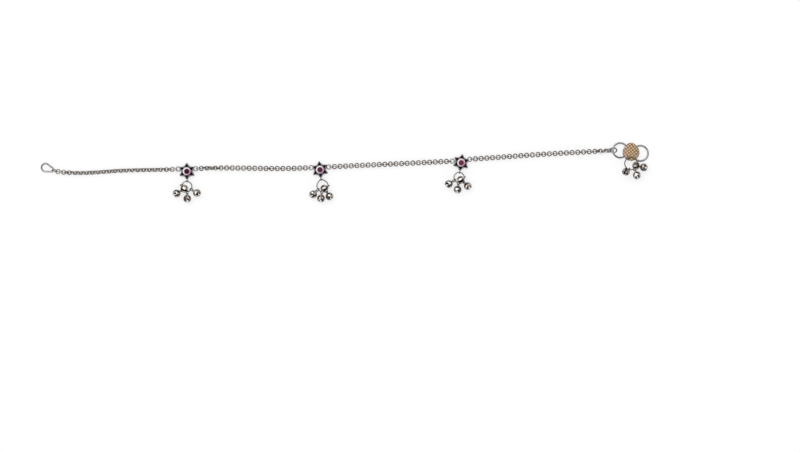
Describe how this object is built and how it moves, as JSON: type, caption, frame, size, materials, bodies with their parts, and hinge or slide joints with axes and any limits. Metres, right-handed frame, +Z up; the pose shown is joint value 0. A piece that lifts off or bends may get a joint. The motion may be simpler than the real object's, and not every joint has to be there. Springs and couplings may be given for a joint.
{
  "type": "payal anklet",
  "caption": "Silver payal anklet: belcher chain with enamelled flower charms, clusters of small bells, an S-hook with a copper-toned plate and an end ring.",
  "frame": {"origin": "on the surface it lies on, under the middle of its box", "axes": "+X along the chain from the end ring to the S-hook, +Y across it away from the bells, +Z up from the surface towards the charms' faces"},
  "size_m": [0.266, 0.0264, 0.0058],
  "materials": {
    "chain_silver": "lightly toned silver links, satin",
    "flower_silver": "polished cast silver",
    "black_enamel": "black enamel, glossy",
    "stone_dark_plum": "faceted glass, very dark plum",
    "stone_purple": "faceted glass, purple-plum",
    "stone_raspberry": "faceted glass, raspberry",
    "hoop_silver": "drawn silver wire",
    "bell_silver": "polished silver bells",
    "hook_silver": "drawn silver wire, satin",
    "plate_copper": "copper-toned plate, finely hatched"
  },
  "bodies": {
    "root": {"bell_1_1": "bell_silver", "bell_1_2": "bell_silver", "bell_1_3": "bell_silver", "bell_1_4": "bell_silver", "bell_2_1": "bell_silver", "bell_2_2": "bell_silver", "bell_2_3": "bell_silver", "bell_2_4": "bell_silver", "bell_3_1": "bell_silver", "bell_3_2": "bell_silver", "bell_3_3": "bell_silver", "bell_3_4": "bell_silver", "bell_clasp_1": "bell_silver", "bell_clasp_2": "bell_silver", "bell_clasp_3": "bell_silver", "bell_clasp_4": "bell_silver", "bell_ring_1_1": "hoop_silver", "bell_ring_1_2": "hoop_silver", "bell_ring_1_3": "hoop_silver", "bell_ring_1_4": "hoop_silver", "bell_ring_2_1": "hoop_silver", "bell_ring_2_2": "hoop_silver", "bell_ring_2_3": "hoop_silver", "bell_ring_2_4": "hoop_silver", "bell_ring_3_1": "hoop_silver", "bell_ring_3_2": "hoop_silver", "bell_ring_3_3": "hoop_silver", "bell_ring_3_4": "hoop_silver", "bell_ring_clasp_1": "hoop_silver", "bell_ring_clasp_2": "hoop_silver", "bell_ring_clasp_3": "hoop_silver", "bell_ring_clasp_4": "hoop_silver", "chain_1": "chain_silver", "chain_2": "chain_silver", "chain_3": "chain_silver", "chain_4": "chain_silver", "clasp_ring": "hook_silver", "enamel_1": "black_enamel", "enamel_2": "black_enamel", "enamel_3": "black_enamel", "end_link": "chain_silver", "end_ring": "hook_silver", "flower_1": "flower_silver", "flower_2": "flower_silver", "flower_3": "flower_silver", "hook_plate": "plate_copper", "hoop_1": "hoop_silver", "hoop_2": "hoop_silver", "hoop_3": "hoop_silver", "hoop_clasp": "hoop_silver", "plate_lug": "hook_silver", "s_hook": "hook_silver", "stone_1": "stone_dark_plum", "stone_2": "stone_purple", "stone_3": "stone_raspberry"}
  },
  "joints": []
}
